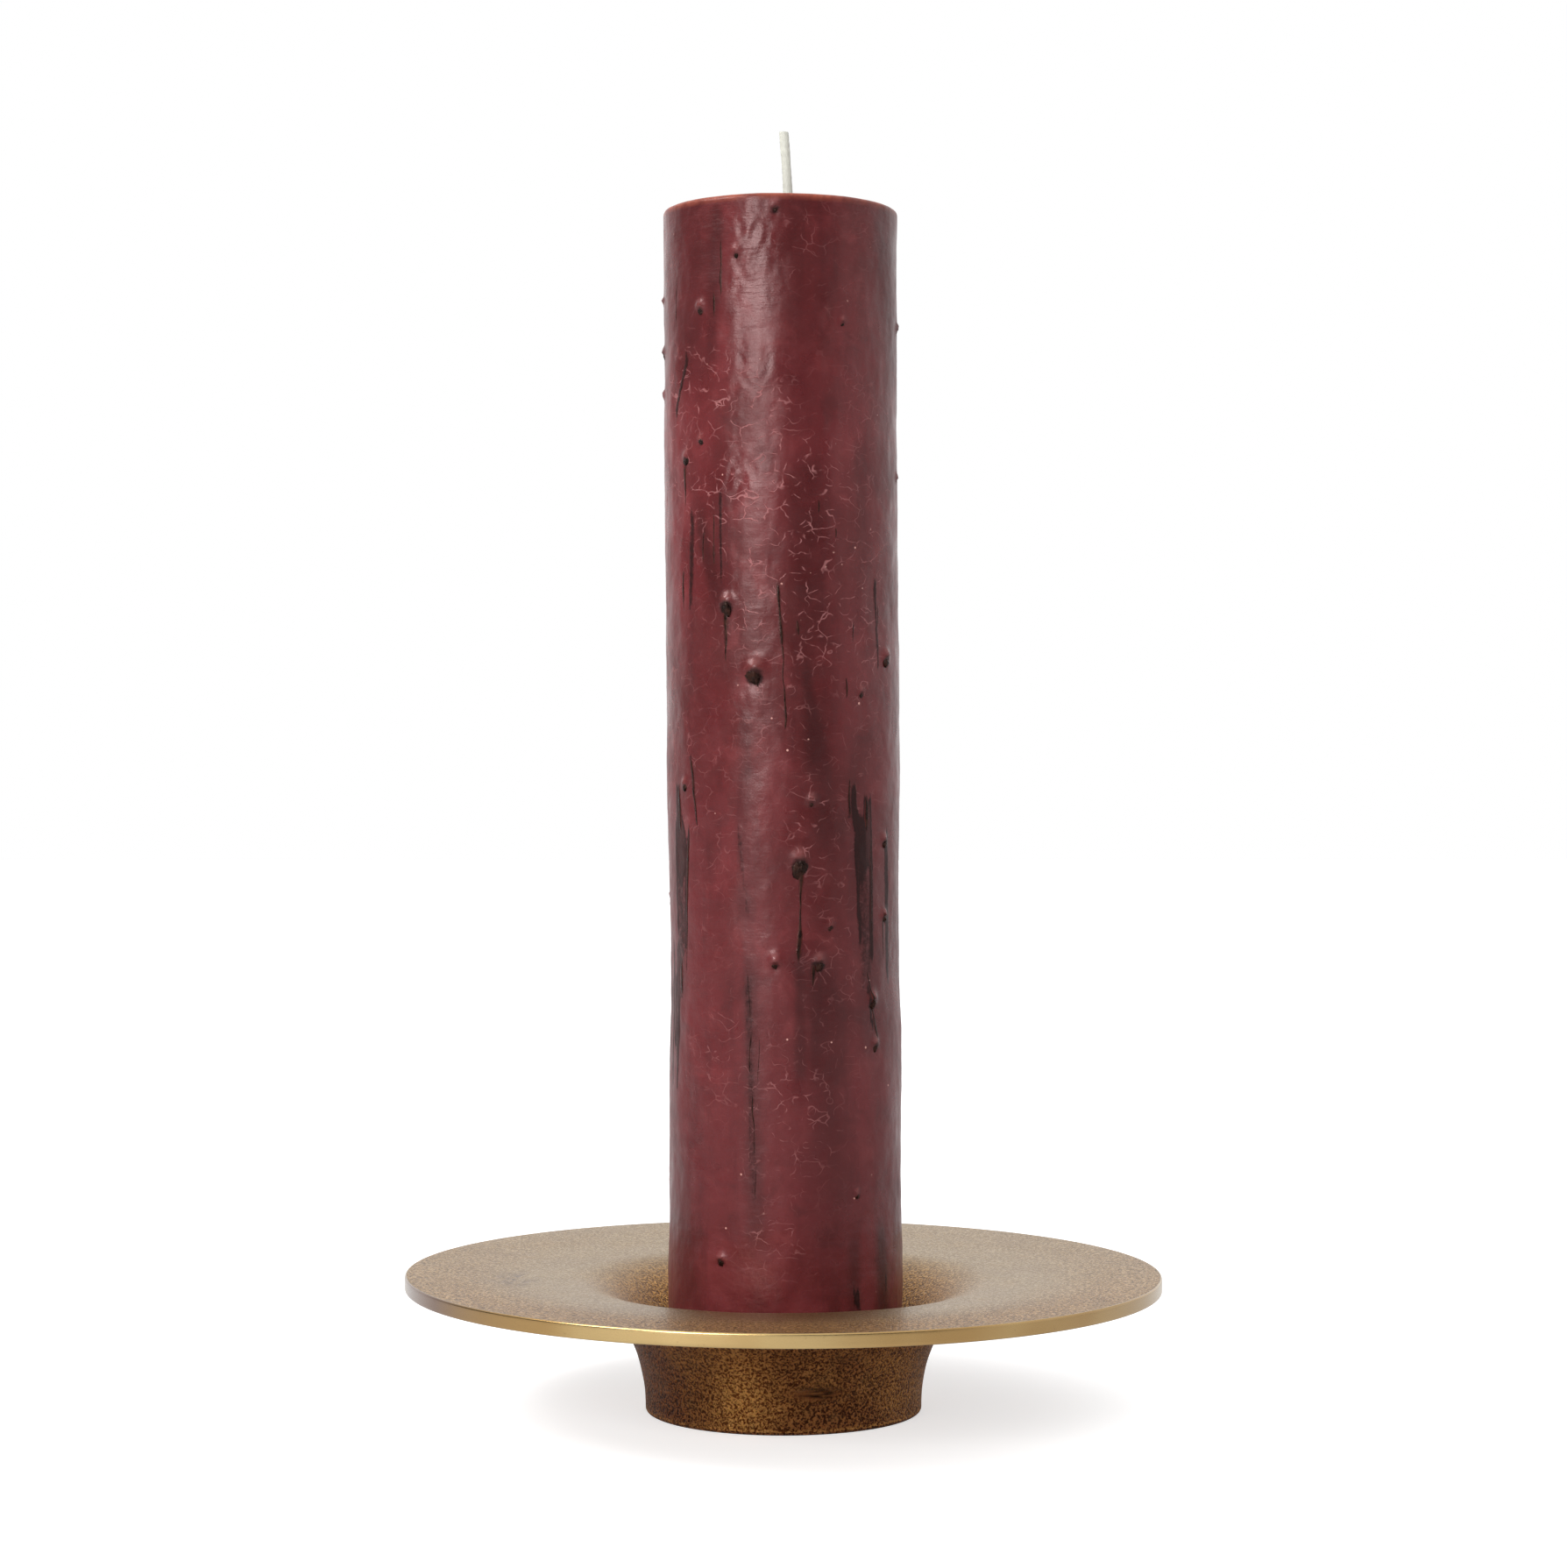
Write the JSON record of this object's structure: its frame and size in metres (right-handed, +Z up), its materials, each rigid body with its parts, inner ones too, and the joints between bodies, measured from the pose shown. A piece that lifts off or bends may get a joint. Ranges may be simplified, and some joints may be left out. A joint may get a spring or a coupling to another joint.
{
  "type": "pillar candle holder",
  "caption": "Wide shallow metal dish flaring from a deep round cup and foot, holding a tall pillar candle that lifts out.",
  "frame": {"origin": "on the table under the middle of the foot", "axes": "+Z up along the candle; -Y is the front; the object is round, so X and Y are free but for the wick's lean and the wax runs"},
  "size_m": [0.193, 0.193, 0.3274],
  "materials": {
    "antique_brass": "satin",
    "dark_felt": "matte",
    "burgundy_wax": "satin",
    "cotton": "matte",
    "black_wax": "gloss"
  },
  "bodies": {
    "holder": {"dish_casting": "antique_brass", "felt_pad": "dark_felt"},
    "candle": {"candle_wax": "burgundy_wax", "wick": "cotton", "black_wax_beads": "black_wax", "black_wax_runs": "black_wax"}
  },
  "joints": [
    {"name": "candle_lift", "type": "slide", "parent": "holder", "child": "candle", "axis": [0, 0, 1], "range_m": [0, 0.06]}
  ]
}
